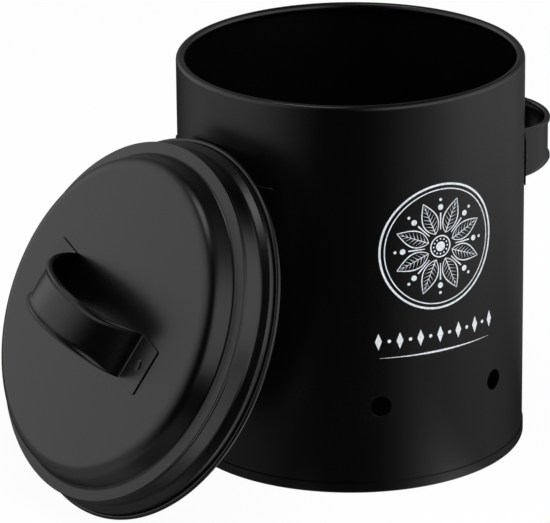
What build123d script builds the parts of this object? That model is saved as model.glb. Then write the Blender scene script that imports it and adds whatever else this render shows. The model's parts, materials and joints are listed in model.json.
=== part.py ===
from build123d import *
import math
import os

# Onion storage jar: a round jar rolled from steel sheet, with air holes, two strap handles
# and a lid. Everything is in millimetres. The origin is the centre of the jar's base, the
# front of the jar faces -Y and the handles are at its sides, on X. The lid is off the jar:
# it stands on its rim and leans on the jar's left side, over the left handle.

os.makedirs("parts", exist_ok=True)

# Sheet and fits
sheet = 0.45            # steel of the jar and the lid
handle_sheet = 0.8      # steel of the handle straps
seam_gap = 0.1          # between the layers of the bottom seam
curl_flats = 3          # flats in the half turn of a curled edge
seat_gap = 0.05         # under a handle's tab
rivet_gap = 0.05        # round a rivet's shank

# Jar
jar_radius = 90.0       # outside of the wall
jar_height = 208.0
rim_curl = 4.7          # across the inward curl at the mouth
foot_height = 5.5       # top of the bottom seam

# Air holes
vent_count = 8
vent_diameter = 11.0
vent_height = 47.2      # centre above the floor
vent_turn = 0.9         # degrees that the ring of holes is turned from the front

# Handle straps: the same arch on the jar and on the lid
strap_width = 26.5      # across the tabs
arch_half = 37.8        # from the middle to the fold
arch_rise = 32.7        # crest above the folds
fold_radius = 1.4
roll_radius = 1.6       # rolled edge of the arch
roll_inset = 1.2        # how far it stands in from the tab's edge
roll_flare = 2.9        # from its middle to the flat of the strap
roll_flats = 4          # flats round it
arch_flats = 10         # flats along the arch
lid_tab = 16.4          # from the fold to the tab's end, on the lid
jar_tab = 13.6          # the same on the jar, along its wall
tab_corner = 1.0
handle_height = 149.3   # middle of the jar's handles above the floor
lid_handle_turn = -16.5     # degrees, in the lid's own plane
lid_handle_shift = -2.3     # along the handle, from the lid's centre
lid_handle_aside = -1.3     # across it

# Rivets, in the middle of each tab
rivet_head = 6.2        # across the head
rivet_head_rise = 0.8
rivet_shank = 3.2
rivet_tail = 5.4        # across the closed end inside
rivet_tail_rise = 0.8
rivet_sides = 12        # flats round a rivet

# Lid
crown_overhang = 0.3    # crown's wall outside the jar's mouth
crown_rise = 13.2       # top above the ledge
crown_bend = 10.5
crown_flats = 2         # flats round that bend, which touch it in their middles
skirt_clearance = 2.85  # between the jar's wall and the skirt
skirt_depth = 17.7      # ledge down to the middle of the hem
hem_width = 3.2         # step out from the skirt to the hem
hem_drop = 4.4          # that step above the middle of the hem
hem_curl = 2.8          # across the outward curl

# Where the lid leans
lean_rise = 25.6        # degrees that the lid's axis points up
lean_heading = 185.7    # degrees from +X to the way its top faces
lean_sideways = 6.3     # how far it stands towards the front
lean_gap = 0.3          # between its hem and the jar's wall

# Places that follow from the sizes
mouth_radius = jar_radius - rim_curl
crown_radius = mouth_radius + crown_overhang
skirt_radius = jar_radius + skirt_clearance + sheet
hem_wall_radius = skirt_radius + hem_width
hem_radius = hem_wall_radius - sheet + hem_curl / 2
lid_top = skirt_depth + crown_rise
arch_radius = (arch_half**2 + arch_rise**2) / (2 * arch_rise)
arch_centre = arch_rise - arch_radius
arch_reach = math.acos((fold_radius + handle_sheet - arch_centre) / arch_radius)
fold_angle = math.asin(arch_half / jar_radius)
chord_offset = math.sqrt(jar_radius**2 - arch_half**2)


def on_side(heading, height):
    """Frame on the jar's wall: X out along the heading, in degrees, and Z up."""
    return Pos(0, 0, height) * Rot(0, 0, heading)


def sheet_face(skin, side):
    """Section of folded sheet: the points are one skin, and the sheet is left (1) or right (-1) of it."""
    skin = [Vector(*point) for point in skin]
    across = [(b - a).normalized().rotate(Axis.Z, 90 * side) for a, b in zip(skin, skin[1:])]
    corners = [
        point + (before + after) * (sheet / (1 + before.dot(after)))
        for point, before, after in zip(skin[1:], across, across[1:])
    ]
    far = [skin[0] + across[0] * sheet, *corners, skin[-1] + across[-1] * sheet]
    return make_face(Polyline(*skin, *reversed(far), close=True))


def around(centre, radius, start, end, flats):
    """Points round an arc, at the ends of its flats, with angles in degrees."""
    turns = [math.radians(start + (end - start) * n / flats) for n in range(flats + 1)]
    return [(centre[0] + radius * math.cos(turn), centre[1] + radius * math.sin(turn)) for turn in turns]


def curl_rise(across):
    """How far the flats of a curled edge reach from its middle."""
    return max(height for _, height in around((0, 0), across / 2, 0, 180, curl_flats))


def turned(section):
    """Solid turned about the Z axis from a section whose X is the radius and whose Y is Z."""
    return revolve(Plane.XZ * section, Axis.Z)


def vent_cutters():
    pitch = 360 / vent_count
    reach = 2 * jar_radius
    bore = Pos(reach / 2, 0, 0) * Rot(0, 90, 0) * Cylinder(vent_diameter / 2, reach)
    return [on_side(-90 + vent_turn + (n + 0.5) * pitch, vent_height) * bore for n in range(vent_count)]


def rivet_angles():
    """Degrees from a jar handle's middle to its two rivets."""
    angle = math.degrees(fold_angle + jar_tab / 2 / jar_radius)
    return angle, -angle


def shank_bore():
    return Cylinder(rivet_shank / 2 + rivet_gap, arch_rise)


def jar_rivet_place(heading, height):
    """Frame at the outside of a tab on the jar, with Z pointing out."""
    reach = jar_radius + seat_gap + handle_sheet
    return on_side(heading, height) * Pos(reach, 0, 0) * Rot(0, 90, 0)


def lid_rivet_places():
    """Frames on top of the two tabs of the lid's handle, in the handle's own frame."""
    reach = arch_half + lid_tab / 2
    return [Pos(side * reach, 0, handle_sheet) for side in (1, -1)]


def body_wall():
    """Rolled wall with its curled mouth and its holes."""
    foot = sheet + seam_gap
    inside = jar_radius - sheet
    middle = jar_height - curl_rise(rim_curl)
    mouth = around((jar_radius - rim_curl / 2, middle), rim_curl / 2, 0, 180, curl_flats)
    skin = [(inside, foot), (jar_radius, foot), *mouth, (inside, middle - rim_curl / 2)]
    bores = [
        jar_rivet_place(heading + turn, handle_height) * shank_bore()
        for heading in (0, 180)
        for turn in rivet_angles()
    ]
    return turned(make_face(Polyline(*skin, close=True))) - vent_cutters() - bores


def base_plate():
    """Base panel, with its edge folded up round the wall's foot."""
    outer = jar_radius + sheet + seam_gap
    return turned(sheet_face([(0, 0), (outer, 0), (outer, foot_height)], 1))


def strap_section(seat, tabs):
    """Side view of a strap: its arch, which stops at the seat, and its two tabs, folded out."""
    middle = Pos(0, arch_centre)
    half = handle_sheet / 2
    strap = middle * Circle(arch_radius + half) + tabs - seat - middle * Circle(arch_radius - half)
    strap = fillet(strap.vertices().sort_by(lambda v: abs(v.X))[2:4], fold_radius)
    return fillet(strap.vertices().sort_by(lambda v: abs(v.X))[:2], fold_radius + handle_sheet)


def lid_strap_section():
    span = 4 * arch_radius
    seat = Rectangle(span, span, align=(Align.CENTER, Align.MAX))
    tabs = [
        Pos(side * (arch_half + lid_tab / 2), handle_sheet / 2) * Rectangle(lid_tab, handle_sheet)
        for side in (1, -1)
    ]
    return strap_section(seat, tabs)


def jar_strap_section():
    """The same strap with its tabs bent to the jar, whose axis is behind the chord."""
    axis = Pos(0, -chord_offset)
    seat = axis * Circle(jar_radius + seat_gap)
    ring = axis * Circle(jar_radius + seat_gap + handle_sheet) - seat
    start = fold_angle - handle_sheet / (2 * jar_radius)
    end = fold_angle + jar_tab / jar_radius
    reach = 2 * jar_radius
    tabs = []
    for side in (1, -1):
        wedge = Polygon(
            (0, 0),
            (side * reach * math.sin(start), reach * math.cos(start)),
            (side * reach * math.sin(end), reach * math.cos(end)),
            align=None,
        )
        tabs.append(ring & (axis * wedge))
    return strap_section(seat, tabs)


def arch_section(angle):
    """Section of the arch at an angle from its crest, in radians: a flat strap that flares into its rolls."""
    out = strap_width / 2 - roll_inset - roll_radius
    flare = Vector(out - roll_flare, handle_sheet / 2)
    start = 180 * roll_flats / (roll_flats + 2)
    roll = around((out, 0), roll_radius / math.sin(math.radians(start / 2)), start, -start, roll_flats)
    edge = [(flare.X, flare.Y), *roll, (flare.X, -flare.Y)]
    place = Plane(
        origin=(arch_radius * math.sin(angle), 0, arch_centre + arch_radius * math.cos(angle)),
        x_dir=(0, 1, 0),
        z_dir=(math.cos(angle), 0, -math.sin(angle)),
    )
    return place * Polygon(*edge, *[(-x, -y) for x, y in edge], align=None)


def strap(section):
    """Handle strap: X along it, Y across it and Z up from its seat."""
    reach = 3 * arch_radius
    side = reach * math.sin(arch_reach)
    level = arch_centre + reach * math.cos(arch_reach)
    above = Polygon(
        (0, arch_centre), (side, level), (side, reach), (-side, reach), (-side, level),
        align=None,
    )
    ends = extrude(Plane.XZ * (section - above), strap_width / 2, both=True)
    corners = ends.edges().filter_by(
        lambda e: abs(e.length - handle_sheet) < sheet / 2 and abs(e.center().X) > arch_half + fold_radius
    )
    sections = [arch_section(arch_reach * (2 * n / arch_flats - 1)) for n in range(arch_flats + 1)]
    return fillet(corners, tab_corner) + loft(sections, ruled=True)


def jar_handle(heading):
    chord = Plane(origin=(chord_offset, 0, 0), x_dir=(0, 1, 0), z_dir=(1, 0, 0)).location
    handle = on_side(heading, handle_height) * chord * strap(jar_strap_section())
    return handle - [jar_rivet_place(heading + turn, handle_height) * shank_bore() for turn in rivet_angles()]


def lid_handle():
    return strap(lid_strap_section()) - [place * shank_bore() for place in lid_rivet_places()]


def rivet(grip):
    """Rivet with Z up: its head stands on Z 0, and its tail is closed up under the grip."""
    head = extrude(RegularPolygon(rivet_head / 2, rivet_sides), rivet_head_rise)
    shank = extrude(RegularPolygon(rivet_shank / 2, rivet_sides), -grip)
    tail = extrude(Pos(0, 0, -grip) * RegularPolygon(rivet_tail / 2, rivet_sides), -rivet_tail_rise)
    return head + shank + tail


def jar_rivet(heading):
    """A rivet of a jar handle. Its tail is flat, so it just clears the curved inside of the wall."""
    grip = seat_gap + handle_sheet + sheet + rivet_gap
    return jar_rivet_place(heading, handle_height) * rivet(grip)


def lid_shell():
    """Lid with its axis on Z, its hem's middle on Z 0 and its top at lid_top."""
    turn = 45 / (crown_flats + 1)
    bend = (crown_radius - crown_bend, lid_top - crown_bend)
    corners = around(bend, crown_bend / math.cos(math.radians(turn)), 90 - turn, turn, crown_flats)
    skin = [
        (0, lid_top), *corners, (crown_radius, skirt_depth), (skirt_radius, skirt_depth),
        (skirt_radius, hem_drop), (hem_wall_radius, hem_drop), (hem_wall_radius, 0),
    ]
    curl = around((hem_radius, 0), hem_curl / 2, -180, 0, curl_flats)
    hem = make_face(Polyline(*curl, (hem_wall_radius - sheet, hem_curl / 2), close=True))
    shell = turned(sheet_face(skin, -1) + hem)
    return shell - [lid_handle_place() * place * shank_bore() for place in lid_rivet_places()]


def lid_handle_place():
    """The handle's frame on the lid's top."""
    return Rot(0, 0, lid_handle_turn) * Pos(lid_handle_shift, lid_handle_aside, lid_top)


def lean_distance():
    """How far out the leaning lid stands, so that its hem just clears the jar's wall."""
    rise = math.radians(lean_rise)
    target = jar_radius + lean_gap + hem_curl / 2
    distance = target
    for _ in range(20):
        nearest = min(
            math.hypot(
                distance - hem_radius * math.sin(rise) * math.sin(math.radians(a / 4)),
                lean_sideways + hem_radius * math.cos(math.radians(a / 4)),
            )
            for a in range(240, 480)
        )
        distance += target - nearest
    return distance


def leaning():
    """The lid's frame where it leans: X level, Y up along the lid and Z out of its top."""
    rise = math.radians(lean_rise)
    heading = math.radians(lean_heading)
    out = Vector(math.cos(heading), math.sin(heading), 0)
    level = Vector(-math.sin(heading), math.cos(heading), 0)
    height = hem_radius * math.cos(rise) + hem_curl / 2
    centre = out * lean_distance() + level * lean_sideways + Vector(0, 0, height)
    facing = out * math.cos(rise) + Vector(0, 0, math.sin(rise))
    return Plane(origin=centre, x_dir=level, z_dir=facing)


def lid_pieces():
    grip = handle_sheet + sheet
    return {
        "lid_shell": lid_shell(),
        "lid_handle": lid_handle_place() * lid_handle(),
        "lid_rivets": Compound([lid_handle_place() * place * rivet(grip) for place in lid_rivet_places()]),
    }


def jar_pieces():
    pieces = {"body_wall": body_wall(), "base_plate": base_plate()}
    for name, heading in (("right_handle", 0), ("left_handle", 180)):
        pieces[name] = jar_handle(heading)
        pieces[name + "_rivets"] = Compound([jar_rivet(heading + turn) for turn in rivet_angles()])
    return pieces


pieces = jar_pieces()
rest = leaning().location
pieces.update({name: rest * piece for name, piece in lid_pieces().items()})
for name, piece in pieces.items():
    export_step(piece, f"parts/{name}.step")

facing = leaning().z_dir
print("lid axis", [round(v, 6) for v in (facing.X, facing.Y, facing.Z)])
print("lid centre", [round(v, 3) for v in leaning().origin])
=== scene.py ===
import json
import math

import bmesh
import bpy
from mathutils import Matrix, Vector


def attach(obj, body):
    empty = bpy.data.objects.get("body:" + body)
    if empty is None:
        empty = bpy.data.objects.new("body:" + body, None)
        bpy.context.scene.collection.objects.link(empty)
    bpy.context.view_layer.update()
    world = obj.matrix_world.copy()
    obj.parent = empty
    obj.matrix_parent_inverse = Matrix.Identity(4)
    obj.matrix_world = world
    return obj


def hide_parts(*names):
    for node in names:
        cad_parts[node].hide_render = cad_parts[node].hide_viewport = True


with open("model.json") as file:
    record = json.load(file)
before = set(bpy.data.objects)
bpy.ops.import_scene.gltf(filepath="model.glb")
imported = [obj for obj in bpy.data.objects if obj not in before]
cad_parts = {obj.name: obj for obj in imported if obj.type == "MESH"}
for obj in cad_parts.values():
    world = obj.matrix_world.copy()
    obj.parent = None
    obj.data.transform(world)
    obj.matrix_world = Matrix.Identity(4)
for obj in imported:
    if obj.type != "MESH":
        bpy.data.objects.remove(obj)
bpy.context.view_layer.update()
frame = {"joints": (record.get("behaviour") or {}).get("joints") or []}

# Onion storage jar: rolled sheet steel with a charcoal powder coat, its lid leaning beside it.
# Sizes are in millimetres and become metres when a piece is placed. The jar's front faces -Y.
mm = 0.001

# Sheet
sheet = 0.45
handle_sheet = 0.8
seam_gap = 0.1
seat_gap = 0.05

# Jar
jar_radius = 90.0
jar_height = 208.0
rim_curl = 4.7
rim_curl_turn = 285.0    # degrees
foot_height = 5.5
foot_bend = 0.9
vent_count = 8
vent_diameter = 11.0
vent_height = 47.2
vent_turn = 0.9          # degrees that the holes stand off halfway between the handles and the front
vent_edge = 0.14         # rounding of the punched edges
vent_cutter = 20.0       # length of the punch
base_step_radius = 74.0  # of the panel's raised middle
base_step = 1.2
base_step_run = 1.6      # width of the slope down from it
base_step_bend = 1.5

# Straps
strap_width = 26.5
strap_draw = 1.25        # how much nearer each rolled edge is at the crest than at a tab
strap_cove = 3.0         # bend from the flat into a rolled edge
strap_plain = 0.408      # half thickness of an edge that isn't rolled, a little over half the sheet
arch_half = 37.8
arch_rise = 32.7
fold_radius = 1.4
roll_radius = 1.55
roll_share = 0.5         # of the half arch, in which the rolls grow to their full size
lid_tab = 16.4
jar_tab = 13.6
tab_corner = 1.0
handle_height = 149.3
lid_handle_turn = -16.5  # degrees
lid_handle_shift = -2.3
lid_handle_aside = -1.3
flat_seat = 1e6          # radius that stands for the lid's flat top

# Rivets
rivet_gap = 0.05         # under the straps on the jar, where the wall's inside is hollow
rivet_head = 6.2
rivet_head_rise = 0.8
rivet_dome = 0.04        # how much the head's top falls towards its bevel
rivet_bevel = 0.55       # width of the bevel
rivet_bevel_bend = 0.2
rivet_edge = 0.25        # height of the head's upright edge
rivet_edge_bend = 0.1
rivet_shank = 3.2
rivet_tail = 5.4
rivet_tail_rise = 0.8
rivet_tail_bend = 0.3

# Lid
crown_radius = 86.2      # at its foot
crown_draft = 4.8        # how much narrower its side is at the top
crown_bend = 8.2
ledge_bend = 2.2         # hollow bend at the crown's foot
ledge_fall = 0.8         # from the crown's foot out to the skirt
skirt_radius = 92.9
skirt_splay = 0.2
skirt_depth = 18.0
skirt_bend = 0.5
skirt_groove = 0.3       # depth of the crease round the skirt, just under the ledge
groove_low = 1.1         # how far under the ledge the crease is deepest
groove_low_bend = 0.25
groove_end = 1.7         # how far under the ledge it ends
groove_end_bend = 0.6
flare_rise = 3.1         # of the slope from the skirt out to the hem
flare_bend = 3.0
hem_width = 3.4
hem_drop = 4.4
hem_bend = 0.7
hem_curl = 2.8
hem_curl_turn = 300.0    # degrees
hem_wall_radius = skirt_radius + skirt_splay + hem_width
lid_top = 30.9

# Print, in millimetres across and up the wall's front
print_across = -1.5
rosette_up = 130.0
band_up = 82.5
leaf_count = 8
leaf_start = 7.5
leaf_length = 18.5
leaf_width = 8.6
ray_start = 9.0
ray_length = 9.0
ray_dots = ((21.0, 1.5), (25.0, 0.8))            # (distance from the middle, radius)
rings = ((5.6, 0.7), (30.5, 0.6), (33.0, 1.1))   # (radius, width)
eye_dot = 2.6
seed_count = 12
seed_ring = 4.0
seed_dot = 0.45
lozenge_pitch = 5.6      # from a lozenge to the next dot
lozenge_height = 9.0
lozenge_width = 3.6
band_dot = 0.95
rule_half = 33.0
rule_drop = 9.0          # from the band down to the rule under it
rule_width = 1.1
ink_off = 0.02           # between the wall and the ink
ink_depth = 0.04

# Where the lid leans
lean_sideways = 6.3
lean_gap = 0.3

# Camera, measured from the jar's axis on the floor, with its angles in radians
view_turn = 31.0         # degrees from the jar's front to the camera's side
eye_out = 2223.5
eye_up = 918.1
look_down = 0.3553
look_left = 0.016854
look_tilt = -0.00443
lens = 296.34
sensor = 36.0
view_end = 20.0          # in metres

# Meshes
hair = 0.02              # keeps round edges inside the box of the plain part
weld = 1e-7              # in metres
turn_steps = 240
bend_step = math.radians(9)
curl_step = math.radians(15)
sharp_turn = math.radians(35)    # an edge that turns by more stays sharp
punch_turn = math.radians(50)    # the same on the wall, with its punched holes


def rounded(corners):
    """Points of a line through corners, each (x, z) or (x, z, radius of its bend)."""
    points = [Vector(corners[0][:2])]
    for before, here, after in zip(corners, corners[1:], corners[2:]):
        corner = Vector(here[:2])
        back = (Vector(before[:2]) - corner).normalized()
        ahead = (Vector(after[:2]) - corner).normalized()
        if len(here) < 3:
            points.append(corner)
            continue
        half = back.angle(ahead) / 2
        centre = corner + (back + ahead).normalized() * (here[2] / math.sin(half))
        start = corner + back * (here[2] / math.tan(half)) - centre
        turn = math.pi - 2 * half
        way = math.copysign(1, back.cross(ahead)) * -1
        steps = max(4, math.ceil(turn / bend_step))
        points += [centre + Matrix.Rotation(way * turn * n / steps, 2) @ start for n in range(steps + 1)]
    return points + [Vector(corners[-1][:2])]


def curled(points, radius, degrees, side):
    """The line with a curl added at its end, to the left (1) or right (-1)."""
    ahead = (points[-1] - points[-2]).normalized()
    centre = points[-1] + Vector((-ahead.y, ahead.x)) * (side * radius)
    start = points[-1] - centre
    steps = math.ceil(math.radians(degrees) / curl_step)
    turn = math.radians(degrees) * side / steps
    return points + [centre + Matrix.Rotation(turn * n, 2) @ start for n in range(1, steps + 1)]


def sheet_outline(points, side, thickness=sheet):
    """Closed outline of bent sheet, which is left (1) or right (-1) of the line."""
    ways = [(b - a).normalized() for a, b in zip(points, points[1:])]
    across = [Vector((-way.y, way.x)) * side for way in ways]
    far = [points[0] + across[0] * thickness]
    for point, before, after in zip(points[1:], across, across[1:]):
        far.append(point + (before + after) * (thickness / (1 + before.dot(after))))
    far.append(points[-1] + across[-1] * thickness)
    return points + far[::-1]


def spun(outline, closed=True, steps=turn_steps):
    """Mesh turned about Z from an outline of (radius, height)."""
    bm = bmesh.new()
    verts = [bm.verts.new((point[0] * mm, 0, point[1] * mm)) for point in outline]
    ends = verts[1:] + verts[:1] if closed else verts[1:]
    edges = [bm.edges.new(pair) for pair in zip(verts, ends)]
    bmesh.ops.spin(
        bm, geom=verts + edges, cent=(0, 0, 0), axis=(0, 0, 1),
        angle=2 * math.pi, steps=steps, use_merge=True,
    )
    bmesh.ops.remove_doubles(bm, verts=bm.verts, dist=weld)
    return bm


def merged(meshes):
    """One bmesh of several, which are freed."""
    whole = bmesh.new()
    for bm in meshes:
        copy = bpy.data.meshes.new("copy")
        bm.to_mesh(copy)
        bm.free()
        whole.from_mesh(copy)
        bpy.data.meshes.remove(copy)
    return whole


def piece(bm, name, body, material, *nodes):
    """Finished piece, in metres in the row's frame, riding on its body in place of its nodes."""
    bmesh.ops.recalc_face_normals(bm, faces=bm.faces)
    mesh = bpy.data.meshes.new(name)
    bm.to_mesh(mesh)
    bm.free()
    mesh.materials.append(material)
    mesh.shade_smooth()
    mesh.set_sharp_from_angle(angle=sharp_turn)
    made = bpy.data.objects.new(name, mesh)
    bpy.context.scene.collection.objects.link(made)
    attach(made, body)
    if nodes:
        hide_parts(*nodes)
    return made


def moved(bm, place):
    bmesh.ops.transform(bm, matrix=place, verts=bm.verts)
    return bm


def shift(x, y, z):
    return Matrix.Translation((x * mm, y * mm, z * mm))


def turned(degrees, axis):
    return Matrix.Rotation(math.radians(degrees), 4, axis)


class Value:
    """A socket of a node tree, on which arithmetic adds Math nodes."""

    def __init__(self, tree, socket):
        self.tree = tree
        self.socket = socket

    def math(self, operation, first, second):
        made = self.tree.nodes.new("ShaderNodeMath")
        made.operation = operation
        for socket, value in zip(made.inputs, (first, second)):
            link(self.tree, socket, value)
        return Value(self.tree, made.outputs[0])

    def __add__(self, other):
        return self.math("ADD", self, other)

    __radd__ = __add__

    def __sub__(self, other):
        return self.math("SUBTRACT", self, other)

    def __rsub__(self, other):
        return self.math("SUBTRACT", other, self)

    def __mul__(self, other):
        return self.math("MULTIPLY", self, other)

    __rmul__ = __mul__


def link(tree, socket, value):
    if isinstance(value, Value):
        tree.links.new(value.socket, socket)
    else:
        socket.default_value = value


class Finish:
    """A material, a world or a light's nodes while they are made."""

    def __init__(self, owner):
        owner.use_nodes = True
        self.owner = owner
        self.tree = owner.node_tree
        self.tree.nodes.clear()

    def node(self, kind, settings=None, values=None, output=0):
        """Value of a new node, with its settings set first and its sockets by name or place."""
        made = self.tree.nodes.new(kind)
        for name, value in (settings or {}).items():
            setattr(made, name, value)
        for key, value in (values or {}).items():
            link(self.tree, made.inputs[key], value)
        return Value(self.tree, made.outputs[output])

    def ramp(self, value, low, high):
        """0 below low and 1 above high, smoothly between."""
        return self.node(
            "ShaderNodeMapRange", {"interpolation_type": "SMOOTHSTEP"},
            {"Value": value, "From Min": low, "From Max": high},
        )

    def noise(self, where, scale, detail):
        return self.node("ShaderNodeTexNoise", {}, {"Vector": where, "Scale": scale, "Detail": detail})

    def mix(self, factor, first, second):
        return self.node(
            "ShaderNodeMix", {"data_type": "RGBA"},
            {0: factor, 6: first, 7: second}, output=2,
        )

    def done(self, shader, kind="ShaderNodeOutputMaterial"):
        self.tree.links.new(shader.socket, self.tree.nodes.new(kind).inputs["Surface"])
        return self.owner


def powder_coat():
    """Charcoal powder coat: almost black, half matt, with a fine orange-peel skin."""
    coat = Finish(bpy.data.materials.new("charcoal_powder_coat"))
    deep = (0.0006, 0.0006, 0.0007, 1)
    worn = (0.0014, 0.0014, 0.0016, 1)
    where = coat.node("ShaderNodeTexCoord", output=3)
    cloud = coat.noise(where, 18.0, 3.0)
    peel = coat.noise(where, 750.0, 2.0)
    grain = coat.noise(where, 2600.0, 1.0)
    height = peel * 0.75 + grain * 0.25
    bump = coat.node("ShaderNodeBump", {}, {"Strength": 0.2, "Distance": 0.00006, "Height": height})
    shader = coat.node("ShaderNodeBsdfPrincipled", {}, {
        "Base Color": coat.mix(cloud, deep, worn),
        "Roughness": 0.23 + cloud * 0.05 + grain * 0.03,
        "Normal": bump,
    })
    return coat.done(shader)


def print_ink():
    """White screen-print ink, a little thin and uneven, so that the coat greys it."""
    ink = Finish(bpy.data.materials.new("white_print"))
    greyed = (0.56, 0.60, 0.65, 1)
    full = (0.82, 0.85, 0.88, 1)
    where = ink.node("ShaderNodeTexCoord", output=3)
    cover = ink.ramp(ink.noise(where, 900.0, 3.0), 0.25, 0.65)
    shader = ink.node("ShaderNodeBsdfPrincipled", {}, {
        "Base Color": ink.mix(cover, greyed, full),
        "Roughness": 0.5 + cover * 0.1,
    })
    return ink.done(shader)


def lid_place():
    """Frame of the leaning lid: its Z is the way that it pulls off, X is level and Y is up along it.

    It stands as far out as leaves its hem's curl the lean's gap from the wall.
    """
    facing = Vector(frame["joints"][0]["axis"]).normalized()
    level = Vector((0, 0, 1)).cross(facing).normalized()
    out = Vector((facing.x, facing.y, 0)).normalized()
    rise = math.asin(facing.z)
    radius = hem_wall_radius - sheet + hem_curl / 2
    target = jar_radius + lean_gap + hem_curl / 2
    distance = target
    top_of_hem = [math.radians(quarter / 4) for quarter in range(240, 480)]
    for _ in range(20):
        distance += target - min(
            math.hypot(
                distance - radius * math.sin(rise) * math.sin(turn),
                lean_sideways + radius * math.cos(turn),
            )
            for turn in top_of_hem
        )
    height = radius * math.cos(rise) + hem_curl / 2
    centre = out * distance + level * lean_sideways + Vector((0, 0, height))
    up = facing.cross(level)
    place = Matrix((level, up, facing)).transposed().to_4x4()
    place.translation = centre * mm
    return place


def smooth(share):
    share = max(0.0, min(1.0, share))
    return share * share * (3 - 2 * share)


def polar(radius, angle, rise=0.0):
    """Point on a circle whose middle is at a rise, by its angle from up."""
    return Vector((radius * math.sin(angle), radius * math.cos(angle) + rise))


def strap_stations(seat_radius, seat_depth, tab):
    """Half of a strap's middle line, from its crest to a tab's end: (point, way out, half width, roll)."""
    half_sheet = handle_sheet / 2
    tab_half = strap_width / 2
    arch_radius = (arch_half**2 + arch_rise**2) / (2 * arch_rise)
    arch_middle = arch_rise - arch_radius
    fold = fold_radius + half_sheet
    far = seat_radius + half_sheet
    apart = arch_middle + seat_depth
    level = ((far + fold)**2 - (arch_radius + fold)**2 + apart**2) / (2 * apart)
    along = math.sqrt((far + fold)**2 - level**2)
    centre = Vector((along, level - seat_depth))
    arch_end = math.atan2(along, level - apart)
    seat_start = math.atan2(along, level)
    seat_end = math.asin(arch_half / seat_radius) + tab / seat_radius
    stations = []
    arch_steps = 36
    for n in range(arch_steps + 1):
        angle = arch_end * n / arch_steps
        up = smooth((1 - n / arch_steps) / roll_share)
        stations.append((
            polar(arch_radius, angle, arch_middle), polar(1, angle),
            tab_half - strap_draw * up, strap_plain + (roll_radius - strap_plain) * up,
        ))
    turn = (seat_start - arch_end + math.pi) % (2 * math.pi) - math.pi
    fold_steps = 8
    for n in range(1, fold_steps + 1):
        way = polar(1, arch_end + turn * n / fold_steps)
        stations.append((centre - way * fold, way, tab_half, strap_plain))
    length = (seat_end - seat_start) * far
    straight = length - tab_corner
    tab_steps = 5
    corner_steps = 6
    runs = [straight * n / tab_steps for n in range(1, tab_steps + 1)]
    runs += [
        straight + tab_corner * math.sin(math.pi / 2 * n / corner_steps)
        for n in range(1, corner_steps + 1)
    ]
    for run in runs:
        angle = seat_start + run / far
        over = max(0.0, run - straight)
        drawn_in = tab_corner - math.sqrt(max(0.0, tab_corner**2 - over**2))
        stations.append((polar(far, angle, -seat_depth), polar(1, angle), tab_half - drawn_in, strap_plain))
    return stations


def strap_section(half_width, roll):
    """Outline of a strap's section: (across, out), flat between two rolled edges, with a cove at each."""
    cove_steps = 5
    roll_steps = 18
    half_sheet = handle_sheet / 2
    middle = half_width - roll
    lift = half_sheet + strap_cove
    reach = math.sqrt((roll + strap_cove)**2 - lift**2)
    start = math.atan2(lift, -reach)
    turns = [start * (2 * n / roll_steps - 1) for n in range(roll_steps + 1)]
    rolled = [(middle + roll * math.cos(turn), roll * math.sin(turn)) for turn in turns]
    cove = []
    for n in range(1, cove_steps + 1):
        turn = start + (math.pi / 2 - start) * n / cove_steps
        cove.append((middle - reach - strap_cove * math.cos(turn), lift - strap_cove * math.sin(turn)))
    right = [(across, -out) for across, out in cove[::-1]] + rolled + cove
    return right + [(-across, -out) for across, out in right]


def strap(seat_radius, seat_depth, tab):
    """A strap handle in its own frame: X along it, Y across it, Z away from its seat."""
    half = strap_stations(seat_radius, seat_depth, tab)
    mirrored = [
        (Vector((-point.x, point.y)), Vector((-way.x, way.y)), width, roll)
        for point, way, width, roll in half[:0:-1]
    ]
    stations = mirrored + half
    sections = [strap_section(width, roll) for _, _, width, roll in stations]
    around = len(sections[0])
    bm = bmesh.new()
    bmesh.ops.create_grid(bm, x_segments=len(stations) - 1, y_segments=around, size=0.5)
    for vert in bm.verts:
        at = round((vert.co.x + 0.5) * (len(stations) - 1))
        point, way, _, _ = stations[at]
        across, out = sections[at][round((vert.co.y + 0.5) * around) % around]
        vert.co = Vector((point.x + way.x * out, across, point.y + way.y * out)) * mm
    bmesh.ops.remove_doubles(bm, verts=bm.verts, dist=weld)
    rims = [edge for edge in bm.edges if edge.is_boundary]
    bmesh.ops.holes_fill(bm, edges=rims, sides=0)
    return bm


def rivet(grip):
    """A rivet with Z up: its flat-domed head stands on Z 0 and its tail is closed up under the grip."""
    head = rivet_head / 2
    shank = rivet_shank / 2
    tail = rivet_tail / 2
    foot = -grip - rivet_tail_rise
    outline = rounded([
        (0, rivet_head_rise), (head - rivet_bevel, rivet_head_rise - rivet_dome, rivet_bevel_bend),
        (head, rivet_edge, rivet_edge_bend), (head, 0), (shank, 0), (shank, -grip),
        (tail, -grip), (tail, foot, rivet_tail_bend), (0, foot),
    ])
    return spun(outline, closed=False, steps=36)


def rivet_places(seat_radius, seat_depth, tab):
    """Frames on the middles of a strap's two tabs, in the strap's frame."""
    turn = math.asin(arch_half / seat_radius) + tab / 2 / seat_radius
    spot = polar(seat_radius + handle_sheet, turn, -seat_depth)
    return [
        shift(side * spot.x, 0, spot.y) @ turned(side * math.degrees(turn), "Y")
        for side in (1, -1)
    ]


def jar_strap_place(heading):
    """Frame of a strap on the jar's wall: X level along the wall, Y down it and Z out."""
    depth = math.sqrt(jar_radius**2 - arch_half**2)
    chord = Matrix(((0, 0, 1), (1, 0, 0), (0, 1, 0))).to_4x4()
    return turned(heading, "Z") @ shift(depth, 0, handle_height) @ chord


def wall_outline():
    foot = sheet + seam_gap
    curl = rim_curl / 2
    side = rounded([(jar_radius, foot), (jar_radius, jar_height - curl)])
    return sheet_outline(curled(side, curl, rim_curl_turn, 1), 1)


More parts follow.
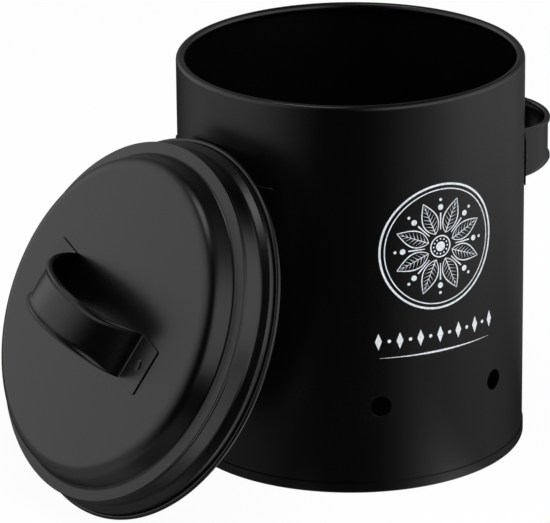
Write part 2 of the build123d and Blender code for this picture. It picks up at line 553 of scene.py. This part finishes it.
def vent_cutters():
    cutters = []
    for n in range(vent_count):
        bm = bmesh.new()
        bmesh.ops.create_cone(
            bm, cap_ends=True, segments=56,
            radius1=vent_diameter / 2 * mm, radius2=vent_diameter / 2 * mm, depth=vent_cutter * mm,
        )
        heading = -90 + vent_turn + (n + 0.5) * 360 / vent_count
        place = turned(heading, "Z") @ shift(jar_radius, 0, vent_height) @ turned(90, "Y")
        cutters.append(moved(bm, place))
    return merged(cutters)


def cut(made, cutters):
    """The piece's mesh with the cutters taken out of it."""
    mesh = bpy.data.meshes.new("cutters")
    cutters.to_mesh(mesh)
    cutters.free()
    tool = bpy.data.objects.new("cutters", mesh)
    bpy.context.scene.collection.objects.link(tool)
    holes = made.modifiers.new("holes", "BOOLEAN")
    holes.object = tool
    holes.solver = "EXACT"
    shape = bpy.data.meshes.new_from_object(made.evaluated_get(bpy.context.evaluated_depsgraph_get()))
    made.modifiers.clear()
    made.data = shape
    bpy.data.objects.remove(tool)
    return made


def jar_wall(coat):
    """The rolled wall with its curled mouth and punched holes, whose edges are a little rounded.

    Its large faces weigh most in the shading, which keeps it even round the holes.
    """
    wall = cut(piece(spun(wall_outline()), "jar_wall", "jar", coat, "body_wall"), vent_cutters())
    bm = bmesh.new()
    bm.from_mesh(wall.data)
    edges = [
        edge for edge in bm.edges
        if len(edge.link_faces) == 2 and edge.calc_face_angle() > punch_turn
        and all(abs(vert.co.z / mm - vent_height) < vent_diameter * 0.51 for vert in edge.verts)
    ]
    bmesh.ops.bevel(
        bm, geom=edges, offset=vent_edge * mm, offset_type="OFFSET", segments=2,
        affect="EDGES", profile=0.5, material=-1, clamp_overlap=True,
    )
    bm.to_mesh(wall.data)
    bm.free()
    wall.data.shade_smooth()
    wall.data.set_sharp_from_angle(angle=punch_turn)
    even = wall.modifiers.new("even_shading", "WEIGHTED_NORMAL")
    even.keep_sharp = True
    even.weight = 100
    return wall


def base_outline():
    outer = jar_radius + sheet + seam_gap - hair
    path = rounded([
        (0, base_step), (base_step_radius, base_step, base_step_bend),
        (base_step_radius + base_step_run, 0, base_step_bend), (outer, 0, foot_bend), (outer, foot_height),
    ])
    return sheet_outline(path, 1)


def lid_outline():
    path = rounded([
        (0, lid_top), (crown_radius - crown_draft, lid_top, crown_bend),
        (crown_radius, skirt_depth + ledge_fall, ledge_bend),
        (skirt_radius, skirt_depth, skirt_bend),
        (skirt_radius - skirt_groove, skirt_depth - groove_low, groove_low_bend),
        (skirt_radius, skirt_depth - groove_end, groove_end_bend),
        (skirt_radius + skirt_splay, hem_drop + flare_rise, flare_bend),
        (hem_wall_radius, hem_drop, hem_bend), (hem_wall_radius, 0),
    ])
    return sheet_outline(curled(path, hem_curl / 2 - sheet - hair, hem_curl_turn, 1), -1)


def stroke(bm, line, width, steps=24):
    """A printed line on the sheet: its middle and its width are functions of 0 to 1."""
    made = bmesh.ops.create_grid(bm, x_segments=steps, y_segments=2, size=0.5)["verts"]
    for vert in made:
        share = vert.co.x + 0.5
        here = line(share)
        ahead = line(share + 1e-3) - line(share - 1e-3)
        across = Vector((-ahead.y, ahead.x)).normalized()
        spot = here + across * (vert.co.y * width(share))
        vert.co = (spot.x, spot.y, 0)


def pointing(heading):
    return Vector((math.cos(heading), math.sin(heading)))


def leaf(bm, root, heading):
    """A leaf drawn as an engraver would: two edges, a midrib and slanted veins."""
    way = pointing(heading)
    side = Vector((-way.y, way.x))
    vein = 0.13 * leaf_length
    spaces = 9

    def bulge(share):
        return math.sin(math.pi * max(0, min(1, share))**0.8) * leaf_width / 2

    for hand in (1, -1):
        stroke(
            bm,
            lambda s, h=hand: root + way * (leaf_length * s) + side * (h * bulge(s)),
            lambda s: 0.34 + 0.3 * math.sin(math.pi * s),
        )
        for n in range(1, spaces - 1):
            stroke(
                bm,
                lambda s, h=hand, a=n / spaces: root + way * (leaf_length * a + vein * s)
                + side * (h * s * 0.82 * bulge(a + vein / leaf_length)),
                lambda s: 0.3 * (1.05 - s), steps=6,
            )
    stroke(bm, lambda s: root + way * (leaf_length * s), lambda s: 0.5 * (1.05 - s))


def dot(bm, centre, radius, steps=20):
    made = bmesh.ops.create_circle(bm, cap_ends=True, cap_tris=True, segments=steps, radius=radius)["verts"]
    for vert in made:
        vert.co += Vector((centre.x, centre.y, 0))


def ring(bm, centre, radius, width):
    stroke(bm, lambda s: centre + pointing(2 * math.pi * s) * radius, lambda s: width, steps=96)


def rosette(bm, centre):
    """Leaves round an eye with seeds, rays with dots between them, and rings."""
    for n in range(leaf_count):
        heading = (n + 0.5) * 2 * math.pi / leaf_count
        leaf(bm, centre + pointing(heading) * leaf_start, heading)
        ray = pointing(heading + math.pi / leaf_count)
        stroke(
            bm, lambda s, way=ray: centre + way * (ray_start + ray_length * s),
            lambda s: 0.5 + 0.3 * s, steps=8,
        )
        for distance, radius in ray_dots:
            dot(bm, centre + ray * distance, radius)
    for radius, width in rings:
        ring(bm, centre, radius, width)
    dot(bm, centre, eye_dot, 28)
    for n in range(seed_count):
        dot(bm, centre + pointing(n * 2 * math.pi / seed_count) * seed_ring, seed_dot, 10)


def lozenge_band(bm, band):
    """A row of lozenges and dots, over a rule that thins towards its ends."""
    for n in range(-6, 7):
        spot = band + Vector((n * lozenge_pitch, 0))
        if n % 2:
            dot(bm, spot, band_dot)
        else:
            stroke(
                bm, lambda s, c=spot: c + Vector((0, (s - 0.5) * lozenge_height)),
                lambda s: lozenge_width * (1 - abs(2 * s - 1)), steps=16,
            )
    for side in (1, -1):
        stroke(
            bm, lambda s, h=side: band + Vector((h * rule_half * s, -rule_drop)),
            lambda s: rule_width * (1 - 0.9 * s),
        )


def front_print(ink):
    """A printed rosette with a band of dots and lozenges under it, in place on the wall."""
    bm = bmesh.new()
    rosette(bm, Vector((print_across, rosette_up)))
    lozenge_band(bm, Vector((print_across, band_up)))
    bmesh.ops.remove_doubles(bm, verts=bm.verts, dist=1e-4)
    out = jar_radius + ink_off
    for vert in bm.verts:
        heading = vert.co.x / jar_radius
        vert.co = Vector((out * math.sin(heading), -out * math.cos(heading), vert.co.y)) * mm
    bmesh.ops.recalc_face_normals(bm, faces=bm.faces)
    if sum((face.normal.y for face in bm.faces), 0.0) > 0:
        bmesh.ops.reverse_faces(bm, faces=bm.faces)
    bmesh.ops.solidify(bm, geom=bm.faces, thickness=-ink_depth * mm)
    return piece(bm, "front_print", "jar", ink)


def straps_and_rivets(coat):
    jar_depth = math.sqrt(jar_radius**2 - arch_half**2)
    seat = jar_radius + seat_gap
    grip = seat_gap + handle_sheet + sheet + rivet_gap
    for name, heading in (("right_handle", 0), ("left_handle", 180)):
        place = jar_strap_place(heading)
        piece(moved(strap(seat, jar_depth, jar_tab), place), name + "_strap", "jar", coat, name)
        rivets = [moved(rivet(grip), place @ spot) for spot in rivet_places(seat, jar_depth, jar_tab)]
        piece(merged(rivets), name + "_rivet_pair", "jar", coat, name + "_rivets")
    on_lid = lid_place() @ turned(lid_handle_turn, "Z") @ shift(lid_handle_shift, lid_handle_aside, lid_top)
    piece(moved(strap(flat_seat, flat_seat, lid_tab), on_lid), "lid_strap", "lid", coat, "lid_handle")
    rivets = [
        moved(rivet(handle_sheet + sheet), on_lid @ spot)
        for spot in rivet_places(flat_seat, flat_seat, lid_tab)
    ]
    piece(merged(rivets), "lid_rivet_pair", "lid", coat, "lid_rivets")


def camera():
    """The photograph's viewpoint."""
    data = bpy.data.cameras.new("camera")
    data.lens = lens
    data.sensor_width = sensor
    data.clip_end = view_end
    right = Vector((1, 0, 0))
    ahead = Vector((0, math.cos(look_down), -math.sin(look_down)))
    up = right.cross(ahead)
    right, up = (
        right * math.cos(look_tilt) + up * math.sin(look_tilt),
        up * math.cos(look_tilt) - right * math.sin(look_tilt),
    )
    right, ahead = (
        right * math.cos(look_left) + ahead * math.sin(look_left),
        ahead * math.cos(look_left) - right * math.sin(look_left),
    )
    place = Matrix((right, up, -ahead)).transposed().to_4x4()
    place.translation = Vector((0, -eye_out, eye_up)) * mm
    made = bpy.data.objects.new("camera", data)
    bpy.context.scene.collection.objects.link(made)
    made.matrix_world = turned(-view_turn, "Z") @ place
    bpy.context.scene.camera = made


def dot_product(finish, first, second):
    return finish.node(
        "ShaderNodeVectorMath", {"operation": "DOT_PRODUCT"}, {0: first, 1: second}, output=1,
    )


def turn_from_view(finish, way):
    """Degrees from the camera's side round to a level direction, growing to its right."""
    turn = math.radians(view_turn)
    ahead = dot_product(finish, way, (-math.sin(turn), -math.cos(turn), 0))
    right = dot_product(finish, way, (math.cos(turn), -math.sin(turn), 0))
    return right.math("ARCTAN2", right, ahead) * math.degrees(1)


def surround():
    """White to the camera, and light right and left of a dark gap on the camera's side to all else."""
    world = Finish(bpy.data.worlds.new("surround"))
    bpy.context.scene.world = world.owner
    way = world.node("ShaderNodeTexCoord", output=0)
    turn = turn_from_view(world, way)
    height = dot_product(world, way, (0, 0, 1))
    seen = world.node("ShaderNodeLightPath", output=0)
    overhead = world.ramp(height, 0.6, 0.9)
    below = world.ramp(0 - height, 0.03, 0.15)       # where the upright wall looks
    # The right side comes up slowly below the horizon and at once above it.
    low = world.ramp(turn, 20.0, 62.0) * 0.45 + world.ramp(turn, 48.0, 78.0) * 0.7
    right = world.ramp(turn, 8.0, 26.0) * 1.3 * (1 - below) + low * below
    right = right * (1 - world.ramp(turn, 85.0, 155.0) * 0.9)
    # The left side comes up slowly everywhere, and is weaker below the horizon.
    left = world.ramp(0 - turn, 18.0, 74.0) * (1 - world.ramp(0 - turn, 115.0, 165.0) * 0.85)
    left = left * (1.08 - below * (0.46 + world.ramp(0 - turn, 70.0, 165.0) * 0.45))
    under = world.ramp(0 - height, 0.45, 0.7) * 0.3  # what the floor close by gives back
    level = (right + left) * (1 - overhead * 0.9) + under
    background = world.node("ShaderNodeBackground", {}, {
        "Color": (1, 1, 1, 1), "Strength": seen + (1 - seen) * level,
    })
    world.done(background, "ShaderNodeOutputWorld")


def stage_sheet(bm, name, material):
    """A flat sheet of the stage, which is no part of the object."""
    mesh = bpy.data.meshes.new(name)
    bm.to_mesh(mesh)
    bm.free()
    mesh.materials.append(material)
    made = bpy.data.objects.new(name, mesh)
    bpy.context.scene.collection.objects.link(made)
    return made


def pale_floor():
    """White to the camera but for the object's shadow, and left out of reflections."""
    pale = Finish(bpy.data.materials.new("pale_floor"))
    seen = pale.node("ShaderNodeLightPath", output=0)
    matt = pale.node("ShaderNodeBsdfDiffuse", {}, {"Color": (0.8, 0.8, 0.8, 1)})
    glow = pale.node("ShaderNodeEmission", {}, {"Color": (1, 1, 1, 1), "Strength": 1.0})
    shader = pale.node("ShaderNodeMixShader", {}, {0: seen * 0.96, 1: matt, 2: glow})
    bm = bmesh.new()
    bmesh.ops.create_grid(bm, x_segments=1, y_segments=1, size=6)
    floor = stage_sheet(bm, "floor", pale.done(shader))
    floor.visible_glossy = False


def painted_shade_card():
    """A card on the floor that only reflections see, with painted shade on it: the floor's shade close by
    the jar and between the jar and the lid. It dims the foot of the wall, right and left.
    """
    dark = Finish(bpy.data.materials.new("painted_shade_card"))
    place = dark.node("ShaderNodeTexCoord", output=3)
    turn = turn_from_view(dark, place)
    reach = dark.node("ShaderNodeVectorMath", {"operation": "LENGTH"}, {0: place}, output=1)
    # Painted shade on the right: darkest close by the jar, weaker further out, gone far off.
    right = dark.ramp(turn, 28.0, 56.0) * (1 - dark.ramp(turn, 105.0, 140.0))
    right = right * (0.7 - dark.ramp(reach, 0.2, 0.65) * 0.34) * (1 - dark.ramp(reach, 0.8, 1.2))
    # Painted shade on the left, close by the jar, where the leaning lid shades the floor.
    left = dark.ramp(0 - turn, 10.0, 25.0) * (1 - dark.ramp(0 - turn, 70.0, 100.0))
    left = left * (1 - dark.ramp(reach, 0.18, 0.27))
    clear = dark.node("ShaderNodeBsdfTransparent")
    # The painted shade itself, near black, mixed in by the masks above.
    painted_shade = dark.node("ShaderNodeEmission", {}, {"Color": (0.002, 0.002, 0.002, 1), "Strength": 1.0})
    shader = dark.node("ShaderNodeMixShader", {}, {0: right + left * 0.75, 1: clear, 2: painted_shade})
    bm = bmesh.new()
    bmesh.ops.create_circle(bm, cap_ends=True, segments=64, radius=3.0)
    card = stage_sheet(bm, "painted_shade_card", dark.done(shader))
    card.visible_camera = False
    card.visible_diffuse = False
    card.visible_shadow = False
    card.location.z = 0.0004


def softbox(name, spot, size, watts, reflected):
    lamp = bpy.data.lights.new(name, "AREA")
    lamp.size = size
    lamp.energy = watts
    made = bpy.data.objects.new(name, lamp)
    bpy.context.scene.collection.objects.link(made)
    made.location = spot
    made.rotation_euler = (Vector((0, 0, 0.1)) - made.location).to_track_quat("-Z", "Y").to_euler()
    made.visible_glossy = reflected


def studio():
    bpy.context.scene.view_settings.view_transform = "Standard"
    surround()
    pale_floor()
    painted_shade_card()
    softbox("front_softbox", (-0.3, -0.8, 1.9), 1.2, 30.0, False)
    softbox("top_softbox", (-0.4, 0.2, 1.9), 0.7, 4.0, True)


camera()
studio()
coat = powder_coat()
jar_wall(coat)
piece(spun(base_outline()), "base_panel", "jar", coat, "base_plate")
straps_and_rivets(coat)
piece(moved(spun(lid_outline()), lid_place()), "lid_pan", "lid", coat, "lid_shell")
front_print(print_ink())
